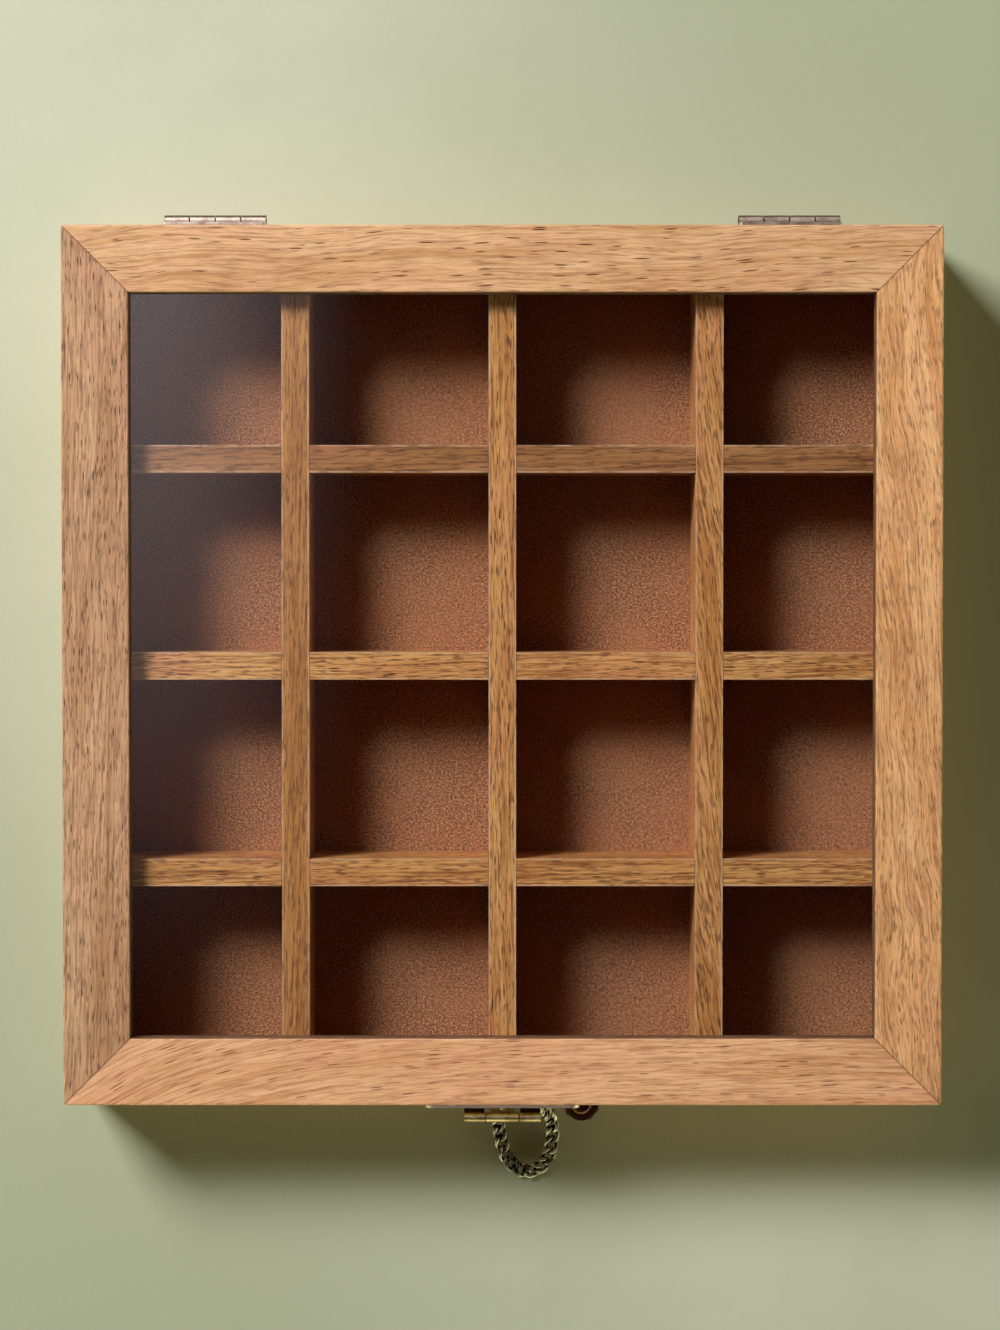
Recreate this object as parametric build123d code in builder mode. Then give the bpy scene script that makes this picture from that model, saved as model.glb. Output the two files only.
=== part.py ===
from build123d import *
import math
import os

os.makedirs("parts", exist_ok=True)

# A shallow wooden display box that lies on its back: sixteen square compartments under a
# hinged, glazed lid. Millimetres. X runs along the hinge side, +Y points to the hinges and
# +Z up. The origin is the middle of the underside.

# Box and lid
box_side = 300.0
case_height = 37.0
lid_height = 8.0
corner_radius = 1.6
edge_radius = 0.8

# Case walls and base panel
wall_thickness = 12.8
base_thickness = 4.0
base_rebate = 6.0
base_clearance = 0.2

# Dividers
divider_thickness = 9.4
divider_count = 3
divider_drop = 0.5
housing_depth = 3.0
joinery_clearance = 0.1

# Lid frame and glass
rail_width = 23.0
glass_thickness = 2.0
glass_setback = 3.0
glass_groove = 6.0
glass_clearance = 0.1

# Running clearances
pin_clearance = 0.05
moving_gap = 0.3

# Hinges
hinge_length = 35.0
hinge_inset = 34.5
hinge_leaf_height = 7.5
hinge_leaf_thickness = 1.0
hinge_barrel_radius = 1.85
hinge_pin_radius = 0.9
hinge_knuckles = 4
hinge_screw_inset = 6.5
leaf_corner_radius = 1.0

# Hasp on the lid and its flap
hasp_width = 26.2
hasp_plate_width = 53.0
hasp_plate_height = 6.0
hasp_plate_thickness = 1.0
hasp_axis_offset = 5.0
hasp_axis_rise = 2.0
hasp_barrel_radius = 1.6
hasp_pin_radius = 0.7
hasp_screw_spacing = 40.0
flap_knuckle_width = 11.6
flap_width = 8.4
flap_length = 21.0
flap_thickness = 0.8
flap_slot_width = 2.2
flap_slot_height = 7.0

# Staple plate, staple and the pin's keeper on the case
staple_plate_left = -12.0
staple_plate_right = 18.5
staple_plate_above = 10.0
staple_plate_below = 9.0
staple_plate_thickness = 0.6
staple_drop = 16.0
staple_wire = 0.9
staple_bend_radius = 2.1
staple_leg = 6.0
keeper_left = 6.5
keeper_right = 11.5
keeper_radius = 1.9
staple_screw_inset = 2.9
chain_lug_place = -1.8
chain_lug_offset = 2.4
chain_lug_drop = 7.4
chain_lug_radius = 1.75
chain_lug_thickness = 1.1

# Locking pin
lock_pin_radius = 0.7
lock_pin_tip = 4.6
lock_pin_length = 16.6
thumb_radius = 6.3
thumb_neck = 2.0
thumb_ring_width = 1.6
thumb_thickness = 2.2
thumb_rim = 1.3
thumb_dish = 0.5

# Chain
chain_pitch = 4.3
link_wire = 1.45
link_width = 5.4
link_length = 7.3
chain_lean = 45.0
chain_hang = math.radians(20.0)
chain_shank_place = 13.4
# Chosen by hand, as the chain lies: place along X, distance in front of the case, height.
chain_route = [
    (-1.4, 5.8, 12.6),
    (-1.5, 10.2, 7.6),
    (-1.4, 14.8, 3.4),
    (-0.2, 18.0, 2.4),
    (0.3, 22.4, 2.2),
    (3.4, 29.6, 2.2),
    (9.4, 31.6, 2.2),
    (14.8, 29.2, 2.2),
    (17.5, 23.2, 2.2),
    (17.9, 18.5, 2.4),
    (17.2, 12.8, 4.6),
    (17.1, 10.7, 7.4),
    (15.5, 8.0, 13.4),
    (14.3, 5.2, 17.3),
    (13.7, 3.4, 22.0),
]

# Fasteners
screw_radius = 1.1
screw_head_radius = 2.1
screw_length = 9.0
small_screw_radius = 0.8
small_screw_head_radius = 1.5
small_screw_length = 6.0
screw_slot_width = 0.5
screw_slot_depth = 0.45
brad_radius = 0.6
brad_head_radius = 1.3
brad_head_height = 0.6
brad_length = 14.0

half = box_side / 2
inner_half = half - wall_thickness
lid_bottom = case_height
lid_top = case_height + lid_height
compartment = (2 * inner_half - divider_count * divider_thickness) / (divider_count + 1)
divider_pitch = compartment + divider_thickness
divider_top = case_height - divider_drop
divider_middle = (base_thickness + divider_top) / 2
glass_top = lid_top - glass_setback
glass_bottom = glass_top - glass_thickness
hinge_axis_offset = hinge_barrel_radius + moving_gap
hasp_axis_height = lid_bottom + hasp_axis_rise
staple_height = hasp_axis_height - staple_drop
staple_plate_top = staple_height + staple_plate_above
staple_plate_bottom = staple_height - staple_plate_below
chain_lug_height = staple_height - chain_lug_drop
sides = {"front": 0, "right": 90, "back": 180, "left": 270}

# Depth of the locking pin in front of the case: it passes just outside the closed flap.
flap_swing = math.asin(
    (hasp_axis_offset - flap_thickness / 2 - staple_plate_thickness - 2 * pin_clearance) / flap_length
)
flap_closed_depth = (
    hasp_axis_offset + flap_thickness / 2 / math.cos(flap_swing) - staple_drop * math.tan(flap_swing)
)
lock_pin_offset = flap_closed_depth + 3 * pin_clearance + lock_pin_radius
staple_crown = lock_pin_offset + lock_pin_radius + pin_clearance + staple_wire / 2
print("flap closes at", round(math.degrees(flap_swing), 2), "degrees")
print("pin depth", round(lock_pin_offset, 3), "staple crown", round(staple_crown + staple_wire / 2, 3))


def directions(turn):
    # The direction along a side of the box and the one out of it, for a quarter-turn angle.
    angle = math.radians(turn)
    return Vector(math.cos(angle), math.sin(angle), 0), Vector(math.sin(angle), -math.cos(angle), 0)


def flat(turn, height=0.0):
    # Level plane whose local -Y points out of that side.
    return Plane(origin=(0, 0, height), x_dir=directions(turn)[0], z_dir=(0, 0, 1))


def face(turn, offset=0.0):
    # Upright plane on that side's outer face: local x runs along the side, local y is height.
    along, outward = directions(turn)
    return Plane(origin=outward * (half + offset), x_dir=along, z_dir=outward)


def across(turn, place):
    # Upright plane square to that side: local x is the distance out of the face, y is height.
    along, outward = directions(turn)
    return Plane(origin=along * place + outward * half, x_dir=outward, z_dir=along * -1)


def mitred(outer, inner):
    # Plan of one side of a square frame, cut at 45 degrees where it meets its neighbours.
    return (-outer, -outer), (outer, -outer), (inner, -inner), (-inner, -inner)


def make_screw(radius, head_radius, length):
    # Countersunk wood screw: its head lies flush at the origin and it points along -Z.
    head_depth = head_radius - radius
    tip = 2 * radius
    with BuildPart() as screw:
        with BuildSketch(Plane.XZ):
            Polygon(
                (0, 0),
                (head_radius, 0),
                (radius, -head_depth),
                (radius, tip - length),
                (0, -length),
            )
        revolve(axis=Axis.Z)
        with BuildSketch(Plane.XY):
            Rectangle(1.5 * head_radius, screw_slot_width)
            Rectangle(screw_slot_width, 1.5 * head_radius)
        extrude(amount=-screw_slot_depth, mode=Mode.SUBTRACT)
    return screw.part


def screw_holes(places, plane, radius, head_radius, length):
    # Clearance holes for countersunk screws whose heads lie flush with the plane.
    with Locations(plane):
        with Locations(*places):
            CounterSinkHole(
                radius + pin_clearance,
                head_radius + pin_clearance,
                depth=length + 2 * pin_clearance,
                counter_sink_angle=90,
            )


def write(piece, name):
    piece.label = name
    export_step(piece, f"parts/{name}.step")


def evenly(count, spacing):
    # Places of so many things about the middle.
    return [(i - (count - 1) / 2) * spacing for i in range(count)]


screw_size = (screw_radius, screw_head_radius, screw_length)
small_screw_size = (small_screw_radius, small_screw_head_radius, small_screw_length)
screw = make_screw(*screw_size)
small_screw = make_screw(*small_screw_size)

hinge_place = half - hinge_inset - hinge_length / 2
hinge_centres = {"left": -hinge_place, "right": hinge_place}
leaf_clear = hinge_barrel_radius + moving_gap
leaf_middle = (leaf_clear + hinge_leaf_height) / 2
hinge_screw_rows = [s * (hinge_length / 2 - hinge_screw_inset) for s in (-1, 1)]
hinge_case_places = [
    (side + row, case_height - leaf_middle) for side in hinge_centres.values() for row in hinge_screw_rows
]
hinge_lid_places = [
    (side + row, lid_bottom + leaf_middle) for side in hinge_centres.values() for row in hinge_screw_rows
]
hasp_plate_bottom = hasp_axis_height - hasp_plate_thickness / 2
hasp_plate_middle = hasp_plate_bottom + hasp_plate_height / 2
hasp_places = [(s * hasp_screw_spacing / 2, hasp_plate_middle) for s in (-1, 1)]
staple_screws = [
    (x, z)
    for x in (staple_plate_left + staple_screw_inset, staple_plate_right - staple_screw_inset)
    for z in (staple_plate_bottom + staple_screw_inset, staple_plate_top - staple_screw_inset)
]
staple_legs = [staple_height - staple_bend_radius, staple_height + staple_bend_radius]
divider_places = evenly(divider_count, divider_pitch)
brad_rows = evenly(divider_count + 1, divider_pitch)
brad_inset = inner_half + base_rebate / 2

# Case walls: mitred, rebated below for the base panel and grooved for the divider ends.
for name, turn in sides.items():
    with BuildPart() as wall:
        with BuildSketch(flat(turn)):
            Polygon(*mitred(half, inner_half))
        extrude(amount=case_height)
        with BuildSketch(flat(turn)):
            Polygon(*mitred(inner_half + base_rebate, inner_half))
        extrude(amount=base_thickness, mode=Mode.SUBTRACT)
        with BuildSketch(flat(turn, base_thickness)):
            with Locations(*[(x, -inner_half - housing_depth / 2) for x in divider_places]):
                Rectangle(divider_thickness + joinery_clearance, housing_depth)
        extrude(amount=case_height - base_thickness, mode=Mode.SUBTRACT)
        with BuildSketch(Plane.XY):
            RectangleRounded(box_side, box_side, corner_radius)
        extrude(amount=case_height, mode=Mode.INTERSECT)
        with Locations(flat(turn, base_thickness)):
            with Locations(*[(x, -brad_inset) for x in brad_rows]):
                Cylinder(
                    brad_radius + pin_clearance,
                    brad_length - base_thickness + pin_clearance,
                    align=(Align.CENTER, Align.CENTER, Align.MIN),
                    mode=Mode.SUBTRACT,
                )
        if name == "back":
            with Locations(face(turn, hinge_leaf_thickness)):
                with Locations(*hinge_case_places):
                    Hole(screw_radius + pin_clearance, depth=screw_length + pin_clearance)
        if name == "front":
            screw_holes(staple_screws, face(turn, staple_plate_thickness), *small_screw_size)
            with Locations(face(turn)):
                with Locations(*[(0, z) for z in staple_legs]):
                    Hole(staple_wire / 2 + pin_clearance, depth=staple_leg + pin_clearance)
    write(wall.part, f"case_wall_{name}")

# Base panel, let into the rebates flush with the underside.
base_side = 2 * (inner_half + base_rebate - base_clearance)
with BuildPart() as base_panel:
    with BuildSketch(Plane.XY):
        Rectangle(base_side, base_side)
    extrude(amount=base_thickness)
    for turn in sides.values():
        with Locations(flat(turn)):
            with Locations(*[(x, -brad_inset) for x in brad_rows]):
                Cylinder(
                    brad_radius + pin_clearance,
                    base_thickness,
                    align=(Align.CENTER, Align.CENTER, Align.MIN),
                    mode=Mode.SUBTRACT,
                )
                Cylinder(
                    brad_head_radius + pin_clearance,
                    brad_head_height,
                    align=(Align.CENTER, Align.CENTER, Align.MIN),
                    mode=Mode.SUBTRACT,
                )
write(base_panel.part, "base_panel")

with BuildPart() as brad:
    with BuildSketch(Plane.XZ):
        Polygon(
            (0, 0),
            (brad_head_radius, 0),
            (brad_head_radius, brad_head_height),
            (brad_radius, brad_head_height),
            (brad_radius, brad_length - 2 * brad_radius),
            (0, brad_length),
        )
    revolve(axis=Axis.Z)

with BuildPart() as base_panel_brads:
    for turn in sides.values():
        with Locations(flat(turn)):
            with Locations(*[(x, -brad_inset) for x in brad_rows]):
                add(brad.part)
write(base_panel_brads.part, "base_panel_brads")

# Dividers: the three that run front to back stay whole on top, the others drop in below.
divider_length = 2 * (inner_half + housing_depth) - 2 * joinery_clearance
lap_width = divider_thickness + joinery_clearance
lap_places = [(place, 0) for place in divider_places]


def make_divider(turn, place, lap_low, lap_high):
    plane = Plane(flat(turn, base_thickness).location * Location((0, place, 0)))
    with BuildPart() as divider:
        with BuildSketch(plane):
            Rectangle(divider_length, divider_thickness)
        extrude(amount=divider_top - base_thickness)
        with BuildSketch(plane.offset(lap_low - base_thickness)):
            with Locations(*lap_places):
                Rectangle(lap_width, lap_width)
        extrude(amount=lap_high - lap_low, mode=Mode.SUBTRACT)
    return divider.part


for name, place in zip(("left", "middle", "right"), divider_places):
    long_divider = make_divider(90, -place, base_thickness, divider_middle)
    write(long_divider, f"divider_long_{name}")
for name, place in zip(("front", "middle", "back"), divider_places):
    cross_divider = make_divider(0, place, divider_middle, divider_top)
    write(cross_divider, f"divider_cross_{name}")

# Lid rails: mitred, grooved for the glass, with eased long edges.
rail_inner = half - rail_width
for name, turn in sides.items():
    with BuildPart() as rail:
        with BuildSketch(flat(turn, lid_bottom)):
            Polygon(*mitred(half, rail_inner))
        extrude(amount=lid_height)
        long_edges = rail.edges().filter_by(Axis((0, 0, 0), directions(turn)[0]))
        fillet(long_edges.group_by(Axis.Z)[-1], edge_radius)
        with BuildSketch(flat(turn, glass_bottom)):
            Polygon(*mitred(rail_inner + glass_groove, rail_inner))
        extrude(amount=glass_thickness + glass_clearance, mode=Mode.SUBTRACT)
        with BuildSketch(Plane.XY.offset(lid_bottom)):
            RectangleRounded(box_side, box_side, corner_radius)
        extrude(amount=lid_height, mode=Mode.INTERSECT)
        if name == "back":
            with Locations(face(turn, hinge_leaf_thickness)):
                with Locations(*hinge_lid_places):
                    Hole(screw_radius + pin_clearance, depth=screw_length + pin_clearance)
        if name == "front":
            screw_holes(hasp_places, face(turn, hasp_plate_thickness), *small_screw_size)
    write(rail.part, f"lid_rail_{name}")

glass_side = 2 * (rail_inner + glass_groove - glass_clearance)
with BuildPart() as glass_pane:
    with BuildSketch(Plane.XY.offset(glass_bottom)):
        Rectangle(glass_side, glass_side)
    extrude(amount=glass_thickness)
write(glass_pane.part, "glass_pane")

# Hinges on the back. Knuckles alternate; the lid has the first of each hinge.
hinge_step = hinge_length / hinge_knuckles
knuckle_length = hinge_step - moving_gap


def make_hinge_leaf(centre, first, upward):
    # One leaf: a screwed plate beside the barrel, tabs to its own knuckles, and the knuckles.
    knuckles = [centre + place for place in evenly(hinge_knuckles, hinge_step)[first::2]]
    plate_height = hinge_leaf_height - leaf_clear
    plate_middle = case_height + upward * leaf_middle
    with BuildPart() as leaf:
        with BuildSketch(face(180)):
            with Locations((centre, plate_middle)):
                RectangleRounded(hinge_length, plate_height, leaf_corner_radius)
            with Locations(*[(x, case_height + upward * leaf_middle / 2) for x in knuckles]):
                Rectangle(knuckle_length, leaf_middle)
        extrude(amount=hinge_leaf_thickness)
        for x in knuckles:
            with BuildSketch(across(180, x)):
                with Locations((hinge_axis_offset, case_height)):
                    Circle(hinge_barrel_radius)
            extrude(amount=knuckle_length / 2, both=True)
        with BuildSketch(across(180, centre)):
            with Locations((hinge_axis_offset, case_height)):
                Circle(hinge_pin_radius + pin_clearance)
        extrude(amount=hinge_length, both=True, mode=Mode.SUBTRACT)
        screw_holes(
            [(centre + row, plate_middle) for row in hinge_screw_rows],
            face(180, hinge_leaf_thickness),
            *screw_size,
        )
    return leaf.part


for name, centre in hinge_centres.items():
    turned = -centre
    write(make_hinge_leaf(turned, 0, 1), f"hinge_{name}_lid_leaf")
    write(make_hinge_leaf(turned, 1, -1), f"hinge_{name}_case_leaf")
    with BuildPart() as hinge_pin:
        with BuildSketch(across(180, turned)):
            with Locations((hinge_axis_offset, case_height)):
                Circle(hinge_pin_radius)
        extrude(amount=hinge_length / 2, both=True)
        chamfer(hinge_pin.edges().filter_by(GeomType.CIRCLE), hinge_pin_radius / 3)
    write(hinge_pin.part, f"hinge_{name}_pin")

with BuildPart() as hinge_case_screws:
    with Locations(face(180, hinge_leaf_thickness)):
        with Locations(*hinge_case_places):
            add(screw)
write(hinge_case_screws.part, "hinge_case_screws")

with BuildPart() as hinge_lid_screws:
    with Locations(face(180, hinge_leaf_thickness)):
        with Locations(*hinge_lid_places):
            add(screw)
write(hinge_lid_screws.part, "hinge_lid_screws")

# Hasp plate on the front rail: a long plate, two arms to the knuckles, the outer knuckles.
hasp_knuckle = (hasp_width - flap_knuckle_width) / 2 - moving_gap
hasp_knuckle_places = [s * (hasp_width - hasp_knuckle) / 2 for s in (-1, 1)]
with BuildPart() as hasp_plate:
    with BuildSketch(face(0)):
        with Locations((0, hasp_plate_middle)):
            SlotOverall(hasp_plate_width, hasp_plate_height)
    extrude(amount=hasp_plate_thickness)
    for x in hasp_knuckle_places:
        with BuildSketch(across(0, x)):
            with Locations((hasp_axis_offset / 2, hasp_axis_height)):
                Rectangle(hasp_axis_offset, hasp_plate_thickness)
            with Locations((hasp_axis_offset, hasp_axis_height)):
                Circle(hasp_barrel_radius)
        extrude(amount=hasp_knuckle / 2, both=True)
    with BuildSketch(across(0, 0)):
        with Locations((hasp_axis_offset, hasp_axis_height)):
            Circle(hasp_pin_radius + pin_clearance)
    extrude(amount=hasp_width, both=True, mode=Mode.SUBTRACT)
    screw_holes(hasp_places, face(0, hasp_plate_thickness), *small_screw_size)
write(hasp_plate.part, "hasp_plate")

with BuildPart() as hasp_plate_screws:
    with Locations(face(0, hasp_plate_thickness)):
        with Locations(*hasp_places):
            add(small_screw)
write(hasp_plate_screws.part, "hasp_plate_screws")

with BuildPart() as hasp_pin:
    with BuildSketch(across(0, 0)):
        with Locations((hasp_axis_offset, hasp_axis_height)):
            Circle(hasp_pin_radius)
    extrude(amount=hasp_width / 2, both=True)
    chamfer(hasp_pin.edges().filter_by(GeomType.CIRCLE), hasp_pin_radius / 3)
write(hasp_pin.part, "hasp_pin")

# Flap: hangs from the hasp pin and has an upright slot for the staple.
flap_bottom = hasp_axis_height - flap_length
with BuildPart() as hasp_flap:
    with BuildSketch(face(0, hasp_axis_offset - flap_thickness / 2)):
        with Locations((0, hasp_axis_height - flap_length / 2)):
            Rectangle(flap_width, flap_length)
    extrude(amount=flap_thickness)
    bottom_corners = hasp_flap.edges().filter_by(Axis.Y).group_by(Axis.Z)[0]
    fillet(bottom_corners, flap_width / 3)
    with BuildSketch(across(0, 0)):
        with Locations((hasp_axis_offset, hasp_axis_height)):
            Circle(hasp_barrel_radius)
    extrude(amount=flap_knuckle_width / 2, both=True)
    with BuildSketch(across(0, 0)):
        with Locations((hasp_axis_offset, hasp_axis_height)):
            Circle(hasp_pin_radius + pin_clearance)
    extrude(amount=flap_knuckle_width, both=True, mode=Mode.SUBTRACT)
    with BuildSketch(face(0, hasp_axis_offset - flap_thickness)):
        with Locations((0, staple_height)):
            SlotOverall(flap_slot_height, flap_slot_width, rotation=90)
    extrude(amount=2 * flap_thickness, mode=Mode.SUBTRACT)
write(hasp_flap.part, "hasp_flap")

# Staple plate with the keeper that the locking pin slides in.
plate_width = staple_plate_right - staple_plate_left
plate_height = staple_plate_top - staple_plate_bottom
plate_centre = (staple_plate_right + staple_plate_left) / 2
plate_middle = (staple_plate_top + staple_plate_bottom) / 2
keeper_centre = (keeper_left + keeper_right) / 2
with BuildPart() as staple_plate:
    with BuildSketch(face(0)):
        with Locations((plate_centre, plate_middle)):
            RectangleRounded(plate_width, plate_height, 3 * leaf_corner_radius)
    extrude(amount=staple_plate_thickness)
    with BuildSketch(across(0, keeper_centre)):
        with Locations((lock_pin_offset / 2, staple_height)):
            Rectangle(lock_pin_offset, 2 * keeper_radius)
        with Locations((lock_pin_offset, staple_height)):
            Circle(keeper_radius)
            Circle(lock_pin_radius + pin_clearance, mode=Mode.SUBTRACT)
    extrude(amount=(keeper_right - keeper_left) / 2, both=True)
    with BuildSketch(across(0, chain_lug_place)):
        with Locations((chain_lug_offset / 2, chain_lug_height)):
            Rectangle(chain_lug_offset, 2 * chain_lug_radius)
        with Locations((chain_lug_offset, chain_lug_height)):
            Circle(chain_lug_radius)
            Circle(link_wire / 2 + moving_gap, mode=Mode.SUBTRACT)
    extrude(amount=chain_lug_thickness / 2, both=True)
    with Locations(face(0, staple_plate_thickness)):
        with Locations(*[(0, z) for z in staple_legs]):
            Hole(staple_wire / 2 + pin_clearance, depth=staple_plate_thickness)
    screw_holes(staple_screws, face(0, staple_plate_thickness), *small_screw_size)
write(staple_plate.part, "staple_plate")

with BuildPart() as staple_plate_screws:
    with Locations(face(0, staple_plate_thickness)):
        with Locations(*staple_screws):
            add(small_screw)
write(staple_plate_screws.part, "staple_plate_screws")

# Staple: bent wire whose legs run through the plate into the case.
with BuildPart() as staple:
    with BuildLine(across(0, 0)) as staple_path:
        lower = Line((-staple_leg, staple_legs[0]), (staple_crown - staple_bend_radius, staple_legs[0]))
        bend = TangentArc(lower @ 1, (staple_crown - staple_bend_radius, staple_legs[1]), tangent=lower % 1)
        Line(bend @ 1, (-staple_leg, staple_legs[1]))
    with BuildSketch(Plane(origin=staple_path.wires()[0] @ 0, z_dir=staple_path.wires()[0] % 0)):
        Circle(staple_wire / 2)
    sweep(path=staple_path.wires()[0])
write(staple.part, "staple")

# Locking pin: a round shank with a dished half-round thumb piece beside the case.
thumb_left = lock_pin_tip + lock_pin_length
thumb_centre = thumb_left + thumb_radius
thumb_flat = -half - staple_plate_thickness - moving_gap
thumb_plane = Plane(
    origin=(thumb_centre, thumb_flat - thumb_neck, staple_height), x_dir=(1, 0, 0), z_dir=(0, 0, 1)
)
with BuildPart() as lock_pin:
    with BuildSketch(across(0, (lock_pin_tip + thumb_left) / 2)):
        with Locations((lock_pin_offset, staple_height)):
            Circle(lock_pin_radius)
    extrude(amount=(thumb_left - lock_pin_tip) / 2 + thumb_rim / 2, both=True)
    with BuildSketch(thumb_plane):
        Circle(thumb_radius)
        with Locations((0, thumb_radius)):
            Rectangle(2 * thumb_radius, 2 * thumb_radius, mode=Mode.SUBTRACT)
        with Locations((0, thumb_neck / 2)):
            Rectangle(2 * thumb_radius, thumb_neck)
    extrude(amount=thumb_thickness / 2, both=True)
    with BuildSketch(thumb_plane.offset(thumb_thickness / 2)):
        Circle(thumb_radius - thumb_rim)
        Circle(thumb_radius - thumb_rim - thumb_ring_width, mode=Mode.SUBTRACT)
        with Locations((0, thumb_radius)):
            Rectangle(2 * thumb_radius, 2 * thumb_radius, mode=Mode.SUBTRACT)
    extrude(amount=-thumb_dish, mode=Mode.SUBTRACT)
write(lock_pin.part, "lock_pin")

# Chain: oval links, each turned a quarter turn from the last. The first hangs in the lug of
# the staple plate and the last goes round the locking pin's shank. Between them they lean.
link_bar = (link_length - link_wire) / 2
link_bend = (link_width - link_wire) / 2
link_straight = (link_length - link_width) / 2
with BuildPart() as link:
    with BuildSketch(Plane.YZ):
        with Locations((link_bend, 0), (-link_bend, 0)):
            Circle(link_wire / 2)
    extrude(amount=link_straight, both=True)
    for end in (-1, 1):
        with BuildSketch(Plane.YZ.offset(end * link_straight)):
            with Locations((link_bend, 0)):
                Circle(link_wire / 2)
        revolve(axis=Axis((end * link_straight, 0, 0), (0, 0, -end)), revolution_arc=180)

lug_bar = (chain_lug_place, chain_lug_offset, chain_lug_height)
shank_reach = lock_pin_radius + link_wire / 2 + moving_gap
shank_bar = (
    chain_shank_place,
    lock_pin_offset - shank_reach * math.sin(chain_hang),
    staple_height + shank_reach * math.cos(chain_hang),
)
route = [Vector(x, -half - out, z) for x, out, z in [lug_bar, *chain_route, shank_bar]]
last_way = (0, math.sin(chain_hang), math.cos(chain_hang))
chain_line = Spline(*route, tangents=[(0, -1, -0.8), last_way], mode=Mode.PRIVATE)
run = chain_line.length - 2 * link_bar
link_count = 2 * round((run / chain_pitch + 1) / 2)
step = run / (link_count - 1)


def link_plane(number):
    # Where one link lies: along the line, leaning, and a quarter turn from its neighbours.
    middle = link_bar + number * step
    start = chain_line.position_at(middle - link_bar, position_mode=PositionMode.LENGTH)
    end = chain_line.position_at(middle + link_bar, position_mode=PositionMode.LENGTH)
    along = (end - start).normalized()
    level = Vector(0, 0, 1).cross(along).normalized()
    share = min(number, link_count - 1 - number) / 4
    turn = 90 * (number % 2) + chain_lean * min(share, 1)
    width = level.rotate(Axis((0, 0, 0), along), turn)
    return Plane(origin=(start + end) * 0.5, x_dir=along, z_dir=along.cross(width))


with BuildPart() as latch_chain:
    with Locations(*[link_plane(number) for number in range(link_count)]):
        add(link.part)
write(latch_chain.part, "latch_chain")
print("chain line", round(chain_line.length, 1), "links", link_count, "pitch", round(step, 3))
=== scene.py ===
import math
import random
import bpy
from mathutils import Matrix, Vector


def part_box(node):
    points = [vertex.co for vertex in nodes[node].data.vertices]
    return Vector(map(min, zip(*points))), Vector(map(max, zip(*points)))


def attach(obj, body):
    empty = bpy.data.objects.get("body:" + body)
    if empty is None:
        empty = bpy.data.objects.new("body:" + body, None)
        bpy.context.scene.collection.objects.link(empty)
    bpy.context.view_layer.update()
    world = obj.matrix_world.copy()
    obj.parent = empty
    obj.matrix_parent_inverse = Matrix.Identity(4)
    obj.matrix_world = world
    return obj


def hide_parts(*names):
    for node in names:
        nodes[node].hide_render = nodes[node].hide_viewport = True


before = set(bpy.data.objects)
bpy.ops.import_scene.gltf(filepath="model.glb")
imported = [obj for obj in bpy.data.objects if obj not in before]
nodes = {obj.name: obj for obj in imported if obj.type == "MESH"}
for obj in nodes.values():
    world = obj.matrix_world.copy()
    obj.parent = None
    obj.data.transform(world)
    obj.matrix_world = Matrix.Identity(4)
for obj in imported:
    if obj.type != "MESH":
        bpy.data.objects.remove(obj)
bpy.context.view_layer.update()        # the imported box: every node in metres, where it stands
mm = 0.001               # looks are in millimetres, bump depths and the surroundings in metres
print("frame loaded,", len(nodes), "pieces")


def addObject(name, data):
    thing = bpy.data.objects.new(name, data)
    bpy.context.scene.collection.objects.link(thing)
    return thing


# Camera: looks down on the lid, a little from the hinge side, as the photograph does.

cameraLook = dict(                      # in metres, and the lens in millimetres
    target=(-0.0008, 0.0005, 0.045),    # middle of the lid's top
    distance=1.070,                     # up from there
    towardsHinges=0.026,
    lens=85.1,
    sensor=36.0,                        # along the picture's height
    nearest=0.01,
)


def addCamera(look):
    lens = bpy.data.cameras.new("topCamera")
    lens.sensor_width = look["sensor"]
    lens.sensor_fit = "AUTO"
    lens.lens = look["lens"]
    lens.clip_start = look["nearest"]
    camera = addObject("topCamera", lens)
    camera.location = Vector(look["target"]) + Vector((0, look["towardsHinges"], look["distance"]))
    camera.rotation_euler = (-math.atan2(look["towardsHinges"], look["distance"]), 0, 0)
    bpy.context.scene.camera = camera


addCamera(cameraLook)


# Small helpers for shader trees.

def paint(red, green, blue):
    # a colour read off as 0 to 255, as a shader wants it
    def straight(level):
        level = level / 255
        return level / 12.92 if level <= 0.04045 else ((level + 0.055) / 1.055) ** 2.4
    return (straight(red), straight(green), straight(blue), 1.0)


def add(tree, kind, inputs=None, **settings):
    # one shader node with its options, and its sockets filled or linked
    node = tree.nodes.new("ShaderNode" + kind)
    for key, value in settings.items():
        setattr(node, key, value)
    for key, value in (inputs or {}).items():
        if isinstance(value, bpy.types.NodeSocket):
            tree.links.new(value, node.inputs[key])
        else:
            node.inputs[key].default_value = value
    return node


def sums(tree, operation, *values):
    node = add(tree, "Math", dict(enumerate(values)), operation=operation)
    return node.outputs[0]


def vectors(tree, operation, *values):
    node = add(tree, "VectorMath", dict(enumerate(values)), operation=operation)
    return node.outputs[0]


def measure(tree, operation, *values):
    # a vector sum whose result is a plain number
    node = add(tree, "VectorMath", dict(enumerate(values)), operation=operation)
    return node.outputs["Value"]


def split(tree, vector):
    # the X, Y and Z of a vector
    return add(tree, "SeparateXYZ", {0: vector}).outputs


def joined(tree, *values):
    return add(tree, "CombineXYZ", dict(enumerate(values))).outputs[0]


def apart(tree, value, place):
    # how far a value is from a place, on either side
    return sums(tree, "ABSOLUTE", sums(tree, "SUBTRACT", value, place))


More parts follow.
